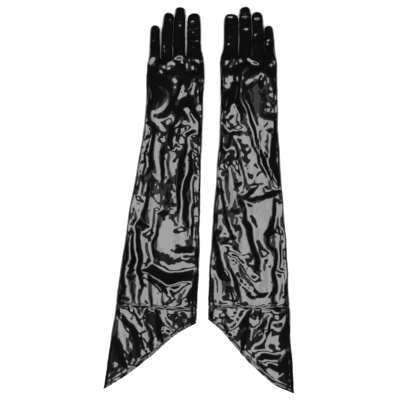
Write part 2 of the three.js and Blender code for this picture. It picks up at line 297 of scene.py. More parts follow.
def shape_sleeve(hand, column, row, level):
    """(a, s, z) of net points on the cuff, sleeve and hand."""
    share = np.interp(column, np.arange(COLUMNS + 1), COLUMN_SHARES)
    at_side = np.abs(share) > 0.999
    fall = np.clip((CUFF_ROWS - row) / (CUFF_ROWS - BAND_ROWS), 0, None)
    hem = hem_line(hand, (share + 1) / 2)
    band = HEM_BAND * (1.15 + 0.3 * share)
    inner = hem[:, 1] + band
    cuff_s = np.where(fall <= 1, inner * fall, hem[:, 1] + band * row / BAND_ROWS)
    seam_a = share * half_width(0)
    cuff_a = seam_a + (hem[:, 0] - seam_a) * np.clip(cuff_s / hem[:, 1], 0, 1)
    s = (row - CUFF_ROWS) / SLEEVE_ROWS * KNUCKLE_S
    line = np.interp(share * half_width(KNUCKLE_S), *zip(*CROTCHES))
    s = s + (line - KNUCKLE_S) * np.clip((s - WRIST_S) / (KNUCKLE_S - WRIST_S), 0, 1)
    in_cuff = row < CUFF_ROWS
    s = np.where(in_cuff, cuff_s, s)
    a = np.where(in_cuff, cuff_a, share * half_width(s))
    rise = np.where(level > LEVELS / 2, 1, -1) * oval(share, EDGE_RISE[-1], SLEEVE_OVAL)
    rise = np.where(at_side, np.interp(level, range(LEVELS + 1), EDGE_RISE), rise)
    tuck = np.where(at_side, SIDE_TUCK * (np.abs(level - LEVELS / 2) / 2) ** 2, 0)
    middle = (top(s) + bottom(s)) / 2
    z = middle + rise * (top(s) - bottom(s)) / 2
    return np.stack((a - np.sign(share) * tuck, s, z), 1)


STALL_GAP = 0.35  # between stalls that touch
MOST_WIDER = 2
# Neighbouring stalls that lie side by side without a gap, on the left glove and on the right one.
CLOSED = ((("ring", "middle"),), (("index", "middle"), ("middle", "ring"), ("ring", "pinky")))


def stall_line(name, right, s):
    """Middle and half width of a stall at s."""
    root_a, root_width, root_s, length, *tips = FINGERS[name]
    tip_a, tip_width = tips[right]
    share = (s - root_s) / length
    return root_a + (tip_a - root_a) * share, (root_width + (tip_width - root_width) * share) / 2


def beside(name, step, right, along):
    """How much wider a stall lies on one side, where it touches its neighbour."""
    other = NAMES.index(name) + step
    pairs = [set(pair) for pair in CLOSED[right]]
    if not 0 <= other < len(NAMES) or {name, NAMES[other]} not in pairs:
        return np.zeros_like(along)
    s = FINGERS[name][2] + along
    mine, my_half = stall_line(name, right, s)
    theirs, their_half = stall_line(NAMES[other], right, s)
    return np.clip((np.abs(theirs - mine) - my_half - their_half - STALL_GAP) / 2, 0, MOST_WIDER)


def shape_finger(name, cells, right, column, row, level):
    """(a, s, z) of net points on one finger's stall."""
    root_a, root_width, root_s, length, *tips = FINGERS[name]
    tip_a, tip_width = tips[right]
    first, last = cells
    u = (column - (first + last) / 2) / NARROW / ((last - first) / 2)
    places = np.array(finger_rows(name))
    along = places[np.clip(np.round(row - ROWS).astype(int) - 1, 0, len(places) - 1)]
    share = along / length
    width = root_width + (tip_width - root_width) * share
    radius = tip_width / 2
    left = np.clip((length - along) / radius, 0, 1)
    full = (1 - (1 - left) ** TIP_POWER) ** (1 / TIP_POWER)
    at_side = np.abs(u) > 0.999
    rise = np.where(level > LEVELS / 2, 1, -1) * oval(u, STALL_RISE[-1], STALL_OVAL)
    rise = np.where(at_side, np.interp(level, range(LEVELS + 1), STALL_RISE), rise)
    tuck = np.where(at_side, STALL_TUCK * (np.abs(level - LEVELS / 2) / 2) ** 2, 0)
    way = np.array((tip_a - root_a, length))
    way /= np.linalg.norm(way)
    half = np.where(u > 0, *[width / 2 + beside(name, step, right, along) for step in (1, -1)])
    side = u * half * full - np.sign(u) * tuck * full
    a = root_a + way[0] * along + way[1] * side
    s = root_s + way[1] * along - way[0] * side
    height = STALL_HEIGHT * np.sqrt(full)
    z = KNUCKLE_LIFT * (1 - share) + STALL_MIDDLE + rise * height / 2
    # The first rows run over smoothly from the hand.
    mix = ease(along, 0, ROOT_LENGTH)[:, None]
    hand = "right" if right else "left"
    root = shape_sleeve(hand, np.interp(u, (-1, 1), cells), np.full_like(u, ROWS), level)
    root[:, 0] += way[0] * along
    root[:, 1] += way[1] * along
    root[:, 2] -= KNUCKLE_LIFT * share
    return np.stack((a, s, z), 1) * mix + root * (1 - mix)


def shape_glove(hand, column, row, level):
    """Pattern places (a, s, z) of net points of one glove, also of those between its rows."""
    place = shape_sleeve(hand, column, np.minimum(row, ROWS), level)
    right = int(hand == "right")
    for name, cells in zip(NAMES, FINGER_CELLS):
        mine = (row > ROWS + 0.4) & (column > cells[0] - 0.01) & (column < cells[1] + 0.01)
        place[mine] = shape_finger(name, cells, right, column[mine], row[mine], level[mine])
    return place


print("stall rows:", {name: len(finger_rows(name)) for name in NAMES})


# %% [markdown]
# ## Folds
#
# Film on knit can't shrink, so a glove that was rolled, worn and laid down keeps long soft folds
# down the sleeve and short sharp ones at the wrist and between the fingers. Each is drawn as a
# stroke on the table, with a width and a height, as a presser would chalk it: a ridge is
# positive, a valley negative. The cloth simulation after them adds the small buckles between.

# %% Strokes, in millimetres on the table: (width, height, points)
FOLDS = {
    "left": (
        (7, 2.4, ((-20, 186), (-29, 162), (-40, 138), (-47, 120))),
        (6, -1.8, ((-30, 176), (-40, 150), (-52, 128))),
        (6, 2.0, ((-8, 186), (-16, 160), (-14, 138), (-8, 120))),
        (8, 2.6, ((-24, 136), (-30, 118), (-38, 100), (-42, 82))),
        (7, -2.4, ((-44, 112), (-48, 70), (-50, 20), (-54, -14))),
        (7, -1.8, ((-70, 104), (-76, 60), (-82, 8), (-86, -30))),
        (8, 2.2, ((-14, 96), (-20, 50), (-26, 6), (-30, -40))),
        (7, -2.2, ((-28, 74), (-34, 36), (-36, -4))),
        (6, -2.0, ((-8, 60), (-10, 20), (-12, -24), (-14, -70))),
        (9, -2.2, ((-90, -6), (-94, -60), (-93, -110), (-92, -158))),
        (8, 1.8, ((-104, -50), (-108, -100), (-112, -150))),
        (12, -2.4, ((-66, -98), (-40, -108), (-8, -104))),
        (9, 2.2, ((-72, -112), (-44, -126), (-10, -122))),
        (8, 1.6, ((-5, -130), (-16, -140), (-28, -152))),
        (8, -1.6, ((-62, -20), (-70, -60), (-74, -110), (-78, -150))),
        (8, -1.6, ((-120, -180), (-100, -215), (-92, -246))),
        (8, 1.8, ((-130, -200), (-112, -226), (-98, -262))),
        (8, 1.8, ((-100, -184), (-84, -205), (-70, -232))),
        (7, -1.5, ((-80, -180), (-66, -200), (-54, -214))),
        (7, 1.5, ((-60, -178), (-46, -190), (-34, -198))),
    ),
    "right": (
        (5, 2.2, ((54, 190), (56, 165), (57, 140), (62, 110))),
        (7, -2.4, ((60, 174), (68, 142), (80, 104), (96, 60), (110, 18))),
        (5, 2.0, ((58, 186), (68, 160), (80, 118), (90, 84), (108, 42))),
        (8, 2.0, ((42, 118), (50, 84), (60, 48), (66, 16))),
        (6, -2.6, ((30, 120), (40, 112), (46, 100), (46, 84))),
        (7, 2.2, ((26, 100), (36, 90), (44, 66), (46, 30))),
        (7, -2.0, ((32, 60), (36, 20), (46, -30), (62, -76))),
        (8, 2.0, ((28, -54), (34, -80), (36, -112))),
        (8, 2.0, ((56, 20), (62, -20), (74, -64), (86, -110))),
        (7, -2.2, ((56, -84), (72, -108), (94, -138))),
        (7, -2.2, ((116, 16), (117, -40), (118, -100), (119, -156))),
        (8, -1.8, ((70, -4), (82, -50), (94, -100), (100, -136))),
        (7, 1.8, ((38, -92), (50, -122), (58, -152))),
        (6, -1.6, ((26, -60), (28, -104), (34, -150))),
        (8, 1.6, ((106, 100), (104, 60), (110, 30))),
        (13, 2.6, ((66, -204), (96, -192), (136, -204))),
        (9, -1.6, ((78, -226), (104, -230), (136, -228))),
        (12, 2.5, ((84, -246), (108, -240), (136, -252))),
        (5, 1.4, ((104, -176), (100, -196), (96, -214))),
        (7, -1.6, ((96, -176), (78, -200), (68, -224))),
        (7, 1.6, ((70, -174), (54, -190), (42, -202))),
        (6, -1.4, ((40, -172), (30, -184), (22, -190))),
    ),
}


STROKE_GAIN = 1.35  # all strokes are drawn a little higher than chalked
WANDER = 3.0  # how far a stroke strays, in millimetres
WANDER_SIZE = 24
print("strokes:", {hand: len(strokes) for hand, strokes in FOLDS.items()})


def slack(points, scale, seed):
    """Smooth noise at each point, between about -1 and 1, with its own size each way."""
    size = Vector(scale)
    return np.array([
        noise.noise(Vector((x / size.x + seed, y / size.y, z / size.z)))
        for x, y, z in points
    ])


# %% Calm places: (x, y, how far each way), in millimetres on the table
CALM = {
    "left": (
        (-44, -55, 12, 33), (-62, 58, 9, 30), (-27, 118, 8, 17), (-52, 130, 15, 34), (-36, -107, 28, 11),
        (-66, -130, 8, 20), (-30, 20, 7, 30),
    ),
    "right": (
        (86, 134, 16, 56), (30, -22, 9, 24), (92, -45, 13, 36), (68, 98, 6, 22), (80, 58, 8, 26),
        (90, 24, 8, 18), (76, -150, 28, 7), (100, -214, 30, 11), (110, -260, 22, 12), (48, 20, 8, 26),
        (100, -120, 7, 30),
    ),
}


def calmness(hand, xy):
    """1 in the middle of a calm place, 0 away from all of them."""
    total = np.zeros(len(xy))
    for x, y, wide, long in CALM[hand]:
        far = ((xy[:, 0] - x) / wide) ** 2 + ((xy[:, 1] - y) / long) ** 2
        total = np.maximum(total, np.exp(-far ** 2))
    return total


# %% Height of the strokes
def stroke_height(xy, width, height, points):
    """Height that one stroke adds at each point of the table: a soft ridge, fading at its ends."""
    points = np.array(points, float)
    lengths = np.linalg.norm(np.diff(points, axis=0), axis=1)
    total, done = lengths.sum(), 0.0
    best = np.full(len(xy), 1e9)
    place = np.zeros(len(xy))
    for start, end, length in zip(points, points[1:], lengths):
        way = (end - start) / length
        t = np.clip((xy - start) @ way, 0, length)
        away = np.linalg.norm(xy - start - t[:, None] * way, axis=1)
        nearer = away < best
        best = np.where(nearer, away, best)
        place = np.where(nearer, (done + t) / total, place)
        done += length
    fade = np.sin(np.pi * np.clip(0.12 + 0.76 * place, 0, 1)) ** 0.8
    ridge = 1 / (1 + (best / width) ** 2) ** 1.6
    return STROKE_GAIN * height * ridge * fade


def fold_heights(hand, xy):
    """All the strokes of one glove, which wander a little as folds do."""
    total = np.zeros(len(xy))
    table = np.append(xy, np.zeros((len(xy), 1)), 1)
    size = (WANDER_SIZE, WANDER_SIZE, 1)
    xy = xy + WANDER * np.stack((slack(table, size, 3.1), slack(table, size, 8.7)), 1)
    for width, height, points in FOLDS[hand]:
        total += stroke_height(xy, width, height, points)
    return total


# %% [markdown]
# ## Pressing: a cloth simulation
#
# The back of each glove is a sheet held along its seams. Folds could be carved by hand, but only
# film that is really too wide for its space buckles as film does. So the sheet is cut a few per
# cent wider than it lies and is squeezed into its place by a shape key, while the cloth solver
# lets it buckle along the chalked folds. Weak pins over the whole sheet stand for the layers
# below, and they keep the buckles small. The result is read back, no move is let past a few
# millimetres, and the solver is thrown away.

# %% Run the cloth solver on the back of a glove
SIM_FRAMES = 22
SQUEEZE_FRAMES = 12
EXCESS = 0.03  # how much wider the film is than its space
EXCESS_LONG = 0.008  # and how much longer
CLOTH = {
    "mass": 0.02,
    "tension_stiffness": 40, "compression_stiffness": 40,
    "shear_stiffness": 10, "bending_stiffness": 0.05,
    "tension_damping": 5, "compression_damping": 5, "air_damping": 2,
    "pin_stiffness": 1.0, "quality": 6, "vertex_group_mass": "hold",
}


def press(mesh, co, loose, hold, middle):
    """Let the loose part of a sheet buckle: co are its places, hold its pin weights."""
    obj = bpy.data.objects.new("pressing", mesh.copy())
    bpy.context.scene.collection.objects.link(obj)
    bm = bmesh.new()
    bm.from_mesh(obj.data)
    index = bm.verts.layers.int.new("home")
    for vert in bm.verts:
        vert[index] = vert.index
    bmesh.ops.delete(bm, geom=[v for v in bm.verts if not loose[v.index]], context="VERTS")
    bm.to_mesh(obj.data)
    bm.free()
    home = np.array([d.value for d in obj.data.attributes["home"].data])
    group = obj.vertex_groups.new(name="hold")
    for i, vertex in enumerate(home):
        group.add([i], float(hold[vertex]), "REPLACE")
    cut = co[home].copy()
    cut[:, 0] = middle[0] + (cut[:, 0] - middle[0]) * (1 + EXCESS)
    cut[:, 1] = middle[1] + (cut[:, 1] - middle[1]) * (1 + EXCESS_LONG)
    obj.data.vertices.foreach_set("co", cut.ravel())
    obj.shape_key_add(name="as cut")
    laid = obj.shape_key_add(name="as laid")
    laid.data.foreach_set("co", co[home].ravel())
    laid.value = 0
    laid.keyframe_insert("value", frame=1)
    laid.value = 1
    laid.keyframe_insert("value", frame=SQUEEZE_FRAMES)
    cloth = obj.modifiers.new("cloth", "CLOTH")
    for setting, value in CLOTH.items():
        setattr(cloth.settings, setting, value)
    cloth.settings.effector_weights.gravity = 0
    cloth.point_cache.frame_end = SIM_FRAMES
    scene = bpy.context.scene
    for step in range(1, SIM_FRAMES + 1):
        scene.frame_set(step)
    done = obj.evaluated_get(bpy.context.evaluated_depsgraph_get())
    out = np.empty(len(home) * 3)
    done.data.vertices.foreach_get("co", out)
    result = co.copy()
    result[home] = out.reshape(-1, 3)
    scene.frame_set(1)
    bpy.data.objects.remove(obj)
    return result


# %% Form the back of each glove
SWAY, SWAY_SIZE = 1.6, 38  # how far the outline strays, and over what length
STALL_FOLDS = 0.25  # folds are this much weaker on the stalls
PIN_LAYERS, PIN_STALL, PIN_SEAM = 0.06, 0.2, 0.8  # how firmly the film is held, where 1 is sewn
MOST_SINK, MOST_RISE, MOST_ASIDE = -4 * MM, 5 * MM, 2 * MM
CALM_PRESS = 0.65  # how much of the buckling a calm place loses


def mesh_from(co, mesh, name):
    """A copy of a net with its vertices at co."""
    made = mesh.copy()
    made.name = name
    made.vertices.foreach_set("co", co.ravel())
    return made


def edge_sway(flat):
    """How far, in millimetres, a laid glove strays from its pattern's smooth outline."""
    table = flat / MM
    table[:, 2] = 0
    size = (SWAY_SIZE, SWAY_SIZE, 1)
    return SWAY * np.stack((slack(table, size, 4.4), slack(table, size, 6.2)), 1)


def form_back(hand):
    """Places of the net's vertices in metres, pressed, for one glove."""
    column, row, level = net_places(net)
    lay = LAYS[hand]
    place = shape_glove(hand, column, row, level)
    flat = lay_out(lay, *place.T)
    on_back = level > LEVELS - 0.5
    share = np.interp(column, np.arange(COLUMNS + 1), COLUMN_SHARES)
    finger = row > ROWS + 0.5
    inside = 1 - np.abs(share) ** 6
    calm = np.where(finger, STALL_FOLDS, ease(row, 0, 4)) * inside
    lift = np.where(on_back, fold_heights(hand, flat[:, :2] / MM) * calm, 0)
    co = flat.copy()
    co[:, 2] += lift * MM
    co[:, :2] += edge_sway(flat) * MM
    rim = rim_of(on_back)
    hold = np.where(rim, 1.0, PIN_LAYERS)
    hold = np.where(np.abs(row - CUFF_ROWS) < 0.6, PIN_SEAM, hold)
    hold = np.where(finger & ~rim, PIN_STALL, hold)
    pressed = press(net, co, on_back, hold, flat[on_back, :2].mean(0))
    move = np.clip(pressed[:, 2] - co[:, 2], MOST_SINK, MOST_RISE)
    move = move * (1 - CALM_PRESS * calmness(hand, flat[:, :2] / MM))
    co[:, :2] += np.clip(pressed[:, :2] - co[:, :2], -MOST_ASIDE, MOST_ASIDE)
    co[:, 2] += move
    print(hand, "pressed, mean move in height:", (np.abs(move[on_back]).mean() / MM).round(2), "mm")
    return co


def rim_of(chosen):
    """Vertices on the edge of the chosen part of the net."""
    rim = np.zeros(len(chosen), bool)
    for edge in net.edges:
        one, other = edge.vertices
        if chosen[one] != chosen[other]:
            rim[one] |= chosen[one]
            rim[other] |= chosen[other]
    _, row, _ = net_places(net)
    return rim | (chosen & (row < 0.1))


formed = {hand: form_back(hand) for hand in ("left", "right")}

# %% [markdown]
# ## Finer skin
#
# The net's cells are 3 mm, too coarse for gloss, which shows every facet. A finer net would make
# the pressing slow, so the cells are halved after it, by one step of subdivision. Each vertex
# keeps its place in the net as an attribute, because the seams are found by it later.

# %% Read a mesh as arrays
def evaluated_mesh(obj):
    """The object's mesh with its modifiers applied and its attributes kept."""
    graph = bpy.context.evaluated_depsgraph_get()
    done = obj.evaluated_get(graph)
    return bpy.data.meshes.new_from_object(done, preserve_all_data_layers=True, depsgraph=graph)


def attribute(mesh, name):
    """A vector attribute of a mesh's vertices, one row each."""
    values = np.empty(len(mesh.vertices) * 3, np.float32)
    mesh.attributes[name].data.foreach_get("vector", values)
    return values.reshape(-1, 3).astype(float)


def coordinates(mesh):
    """Places of a mesh's vertices, one row each."""
    co = np.empty(len(mesh.vertices) * 3)
    mesh.vertices.foreach_get("co", co)
    return co.reshape(-1, 3)


def normals(mesh):
    """Normals of a mesh's vertices, one row each."""
    values = np.empty(len(mesh.vertices) * 3, np.float32)
    mesh.vertex_normals.foreach_get("vector", values)
    return values.reshape(-1, 3).astype(float)


# %% Face by face values of a mesh
def face_values(mesh):
    """For a mesh: each loop's vertex and face, and each face's normal."""
    counts = np.empty(len(mesh.polygons), int)
    mesh.polygons.foreach_get("loop_total", counts)
    vertex = np.empty(len(mesh.loops), int)
    mesh.loops.foreach_get("vertex_index", vertex)
    face_normals = np.empty(len(mesh.polygons) * 3)
    mesh.polygons.foreach_get("normal", face_normals)
    return vertex, np.repeat(np.arange(len(counts)), counts), face_normals.reshape(-1, 3)


def face_means(owner, values, faces):
    """The mean over each face of values given per loop."""
    count = np.bincount(owner, minlength=faces)
    return np.stack([np.bincount(owner, column, faces) / count for column in values.T], 1)


def face_places(skin):
    """Each face's mean place in the net (column, row, level), and its area."""
    vertex, owner, _ = face_values(skin)
    middles = face_means(owner, attribute(skin, "net_place")[vertex], len(skin.polygons))
    areas = np.empty(len(skin.polygons))
    skin.polygons.foreach_get("area", areas)
    return middles, areas


# %% Subdivide
def face_outwards(hand, mesh):
    """Turn the left glove's faces round: it is laid mirrored, which turns its net inside out."""
    if LAYS[hand]["mirror"] < 0:
        mesh.flip_normals()


def refine(mesh, net):
    """A finer copy of a laid net, with its net places kept."""
    layer = mesh.attributes.new("net_place", "FLOAT_VECTOR", "POINT")
    layer.data.foreach_set("vector", net_places(net).T.astype(np.float32).ravel())
    obj = bpy.data.objects.new("to refine", mesh)
    bpy.context.scene.collection.objects.link(obj)
    finer = obj.modifiers.new("finer", "SUBSURF")
    finer.levels = finer.render_levels = 1
    made = evaluated_mesh(obj)
    bpy.data.objects.remove(obj)
    return made


def raise_relief(skin, height, lowest=0.0):
    """Move a skin out by a height in millimetres, and keep its normals for its pieces."""
    co = coordinates(skin)
    co += normals(skin) * height[:, None] * MM
    co[:, 2] = np.maximum(co[:, 2], lowest)
    skin.vertices.foreach_set("co", co.ravel())
    skin.update()
    kept = skin.attributes.new("skin_normal", "FLOAT_VECTOR", "POINT")
    kept.data.foreach_set("vector", normals(skin).astype(np.float32).ravel())


skins = {hand: refine(mesh_from(co, net, f"{hand}_skin"), net) for hand, co in formed.items()}
for hand, skin in skins.items():
    face_outwards(hand, skin)
print("skin vertices:", {hand: len(skin.vertices) for hand, skin in skins.items()})


# %% [markdown]
# ## Small relief
#
# Between the big folds the film is never flat. The side seams are rolled over, the needle pulls
# puckers along every seam, empty stalls are dented, and short folds spread from between the
# fingers. Bump in the finish could fake these, but a mirror finish and the printed part both
# need real geometry, so each is a height along the skin's normal, in millimetres.

# %% Dents in the backs of the hands: (x, y, depth, size each way), in millimetres on the table
HAND_DENTS = {
    "left": (
        (-70, 192, 3.4, (11, 17)), (-72, 183, 1.6, (10, 12)), (-53, 187, 3.4, (9, 11)),
        (-51, 211, 1.6, (3, 9)), (-33, 208, 0.5, (7, 3)), (-14, 200, 1.0, (2.6, 7)),
        (-2, 188, 1.3, (3.4, 9)), (-75, 160, 3.0, (8, 12)), (-32, 150, 3.4, (9, 20)),
        (-14, 154, 3.2, (7, 20)),
    ),
    "right": (
        (37, 197, 1.2, (5, 6)), (108, 194, 1.7, (7, 9)), (93, 176, 1.5, (3, 8)),
        (103, 174, 1.5, (2.6, 10)), (112, 176, 0.9, (3, 5)), (40, 166, 1.6, (9, 9)),
        (52, 176, 1.0, (6, 5)), (68, 205, 0.45, (8, 3)), (86, 200, 0.5, (5, 3.4)),
        (112, 140, 1.0, (4, 8)),
    ),
}
# Dents in each stall: share of its length, place across, depth, and size each way.
STALL_DENTS = {
    "left": {
        "index": ((0.74, 3, 1.1, (4, 4)), (0.50, 1, 1.5, (3, 4))),
        "middle": ((0.61, -1, 1.6, (2.6, 5)),),
        "ring": ((0.76, -3, 1.2, (2, 5)), (0.16, 3, 3.4, (2.2, 10))),
        "pinky": ((0.55, 0, 0.7, (5, 4)),),
    },
    "right": {
        "index": ((0.83, 1, 1.4, (3, 4)), (0.86, -4, 1.4, (2.2, 4)), (0.26, -4, 1.4, (2.2, 4))),
        "middle": ((0.75, -1, 2.1, (4.5, 5.5)), (0.50, 0, 1.2, (4, 3)), (0.06, -2, 1.7, (3, 5))),
        "ring": ((0.77, -1, 2.1, (4.5, 6)), (0.44, -5, 1.4, (2, 4)), (0.2, -5, 1.4, (2, 4))),
        "pinky": ((0.80, 1, 1.7, (2.2, 5)), (0.34, -4, 3.1, (2.4, 9))),
    },
}


def bump_at(x, y, place, size):
    """A round bump of unit height at a place, with its size each way."""
    return np.exp(-((x - place[0]) / size[0]) ** 2 - ((y - place[1]) / size[1]) ** 2)


# %% Seams, crotches and stalls
SIDE_ROLL = 4.6  # width of the rolled side seam
ROLL_HEIGHT, ROLL_GROOVE = 0.5, 0.55
CUFF_GROOVE, CUFF_PUCKER = 0.8, 0.38
HEM_GROOVE, HEM_PUCKER = 0.45, 0.22
PUCKER_PITCH = 7.5
PULL_PITCH, PULL = 13, 0.4  # gathers along the side seams
CROTCH_PULL = 0.95
CREASE_PITCH, CREASE = 9.5, 0.3  # creases across the stalls


def seam_relief(share, s, row, a, wander, patchy):
    """The rolled side seams, the cuff seam and the stitched hem of a sleeve."""
    edge = (1 - np.abs(share)) * half_width(s)
    groove = np.exp(-((edge - SIDE_ROLL - 0.6) / 1.2) ** 2)
    height = ROLL_HEIGHT * np.sin(np.pi * np.clip(edge / SIDE_ROLL, 0, 1)) - ROLL_GROOVE * groove
    pull = np.sin(2 * np.pi * s / PULL_PITCH + 9 * wander) * np.clip(patchy, 0, 1)
    height += PULL * pull * np.exp(-np.abs(edge - SIDE_ROLL) / 7) * np.clip(edge / 3, 0, 1)
    puckers = np.sin(2 * np.pi * a / PUCKER_PITCH + 4 * wander) * (0.5 + 0.9 * wander)
    height -= CUFF_GROOVE * np.exp(-(s / 1.5) ** 2)
    height += CUFF_PUCKER * puckers * np.exp(-np.abs(s) / 6) * np.clip(np.abs(s) / 2, 0, 1)
    band = np.abs(row - BAND_ROWS)
    hem = -HEM_GROOVE * np.exp(-(band / 0.5) ** 2) + HEM_PUCKER * puckers * np.exp(-band / 1.2)
    return height + np.where(row < CUFF_ROWS / 2, hem, 0)


def crotch_pulls(a, s, wander):
    """Short sharp folds that spread from between the fingers."""
    height = np.zeros(len(a))
    for number, (crotch_a, crotch_s) in enumerate(CROTCHES):
        da, ds = a - crotch_a, s - crotch_s
        far = np.hypot(da, ds)
        turn = np.arctan2(da, -ds)
        spread = np.cos((4 + number % 2) * turn + 2 * wander + number)
        reach = np.exp(-far / 13) * np.clip((far - 2) / 6, 0, 1)
        height += CROTCH_PULL * spread * np.abs(np.cos(turn)) * reach
    return height


def finger_relief(hand, row, a, s, wander):
    """Dents and creases of the empty stalls."""
    height = np.zeros(len(a))
    for name, (root_a, _, root_s, length, *tips) in FINGERS.items():
        tip_a = tips[int(hand == "right")][0]
        for along, across, depth, size in STALL_DENTS[hand][name]:
            centre = (root_a + (tip_a - root_a) * along + across, root_s + length * along)
            height -= depth * bump_at(a, s, centre, size)
    crease = np.sin(2 * np.pi * (s + 5 * wander) / CREASE_PITCH) * np.clip(2.4 * wander, 0, 1)
    return np.where(row > ROWS, height + CREASE * crease, height)


# %% Raise the relief
LONG_SLACK, SHORT_SLACK, CRINKLE = 0.3, 0.12, 0.3  # heights of the film's slack, largest first
STALL_SLACK = 0.35  # share of it that the stalls get
CALM_SLACK = 0.7  # share of it that a calm place loses
TABLE_GAP = 0.7 * MM  # least height of the skin's middle, which leaves room for its wall


def relief(hand, place, pattern, co):
    """Height of the fine relief at each vertex of a skin."""
    column, row, level = place.T
    a, s, _ = pattern.T
    seed = 11.3 if hand == "left" else 57.9
    share = np.interp(column, np.arange(COLUMNS + 1), COLUMN_SHARES)
    table = np.stack((a, s, np.where(level > 2, 1.0, 40.0)), 1)
    wander = slack(table, (30, 46, 20), seed)
    patchy = slack(table, (26, 24, 20), seed + 5)
    long_slack = slack(table, (8, 30, 30), seed + 3)
    short_slack = slack(table, (5, 7.5, 30), seed + 7)
    crinkle = 0.4 - np.abs(slack(table, (7, 17, 30), seed + 9)) * 2
    sleeve = row <= ROWS + 0.5
    height = np.where(sleeve, seam_relief(share, s, row, a, wander, patchy), 0)
    free = np.where(sleeve, 1 - CALM_SLACK * calmness(hand, co[:, :2] / MM), STALL_SLACK)
    height += free * (LONG_SLACK * long_slack + SHORT_SLACK * short_slack + CRINKLE * crinkle)
    height += crotch_pulls(a, s, wander)
    back = finger_relief(hand, row, a, s, wander)
    for x, y, depth, size in HAND_DENTS[hand]:
        back -= depth * bump_at(*co[:, :2].T / MM, (x, y), size)
    return height + np.where(level > 2, back, 0)


for hand, skin in skins.items():
    place = attribute(skin, "net_place")
    height = relief(hand, place, shape_glove(hand, *place.T), coordinates(skin))
    raise_relief(skin, height, TABLE_GAP)
    print(hand, "relief:", height.min().round(2), "to", height.max().round(2), "mm")

# %% [markdown]
# ## Cutting the skin into its pieces
#
# Each piece is a panel as cut and sewn: the cuffs, the hem bands, the finger strips and the
# fourchettes. The long panel from cuff to fingers is one cut in reality. It is split here across
# the sleeve, because a piece can bend at one joint only. A piece gets a real thickness. Its
# shading comes from the whole skin, so a seam shows only where one was sewn.

# %% Helpers that cut and thicken pieces
FILM = 0.6 * MM
HEM_FILM = 1.1 * MM  # two layers, pressed together
FLAT_ON = 0.35  # a wall face that leans less than this to the skin is a cut edge


def separate(skin, codes):
    """Split a skin into one object for each code its faces carry, as {code: object}."""
    obj = bpy.data.objects.new("skin", skin)
    bpy.context.scene.collection.objects.link(obj)
    layer = skin.attributes.new("piece", "INT", "FACE")
    layer.data.foreach_set("value", codes.astype(np.int32))
    for _ in range(codes.max() + 1):
        skin.materials.append(bpy.data.materials.new("cut"))
    skin.polygons.foreach_set("material_index", codes.astype(np.int32))
    for other in bpy.context.selected_objects:
        other.select_set(False)
    bpy.context.view_layer.objects.active = obj
    obj.select_set(True)
    bpy.ops.object.mode_set(mode="EDIT")
    bpy.ops.mesh.select_all(action="SELECT")
    bpy.ops.mesh.separate(type="MATERIAL")
    bpy.ops.object.mode_set(mode="OBJECT")
    return {part.data.attributes["piece"].data[0].value: part for part in bpy.context.selected_objects}


def thicken(obj, name, thickness):
    """Give a cut piece its wall, with crisp cut edges and the whole skin's shading."""
    obj.name = name
    obj.data.materials.clear()
    wall = obj.modifiers.new("wall", "SOLIDIFY")
    wall.thickness = thickness
    wall.offset = -1
    mesh = evaluated_mesh(obj)
    obj.modifiers.clear()
    obj.data = mesh
    mesh.name = name
    kept = attribute(mesh, "skin_normal")
    vertex, owner, face_normals = face_values(mesh)
    lean = np.einsum("ij,ij->i", kept[vertex], face_normals[owner])
    lean = face_means(owner, lean[:, None], len(face_normals))[:, 0]
    sign = np.where(lean > FLAT_ON, 1, np.where(lean < -FLAT_ON, -1, 0))
    side = sign[owner, None]
    shading = np.where(side == 0, face_normals[owner], kept[vertex] * side)
    mesh.polygons.foreach_set("use_smooth", np.ones(len(mesh.polygons), bool))
    mesh.polygons.foreach_set("material_index", (sign < 0).astype(np.int32))
    mesh.normals_split_custom_set(shading.tolist())
    for spare in ("piece", "skin_normal", "net_place"):
        mesh.attributes.remove(mesh.attributes[spare])
    return obj


def pattern_point(hand, a, s, z=7):
    """A single point of the pattern, in place."""
    return lay_out(LAYS[hand], [a], [s], [z])[0]


def bend_between(obj, hand, one, other, start, end, a=0.0):
    """Bake a piece's place into its mesh. The two bodies are not used, and the points at s = start and s
    = end are found but not used.
    """
    pattern_point(hand, a, start)
    pattern_point(hand, a, end)
    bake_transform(obj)


def on_side(facing, level):
    """Whether a place in the net is on the back or on the palm side."""
    return level > LEVELS / 2 if facing == "back" else level < LEVELS / 2


# %% The cutting plan: which faces of the skin are which piece
SPLIT_ROW = CUFF_ROWS + 68  # where the hand's panel takes over from the sleeve's
ELBOW_ZONE, WRIST_ZONE, CUFF_ZONE = 26, 28, 24  # how far a bend spreads to each side of its joint
KNUCKLE_ZONE = (-2, 17)


def is_fourchette(number, by, column, row, level):
    """Whether a face is in the side strip of finger number that faces finger by."""
    first, last = FINGER_CELLS[number]
    reach = (last - first) / 2
    across = (column - (first + last) / 2) * (1 if by > number else -1)
    drawn = np.clip(row - ROWS, 0, 1)
    wall = across > reach * (1 - drawn + drawn * NARROW) - 0.06
    last_row = ROWS + len(finger_rows(NAMES[number]))
    on_stall = (row > ROWS) & (row < last_row) & (column > first) & (column < last)
    return on_stall & wall & (level > 1) & (level < 3)


def neighbours(number):
    """The stalls beside a stall."""
    return [n for n in (number - 1, number + 1) if 0 <= n < len(NAMES)]


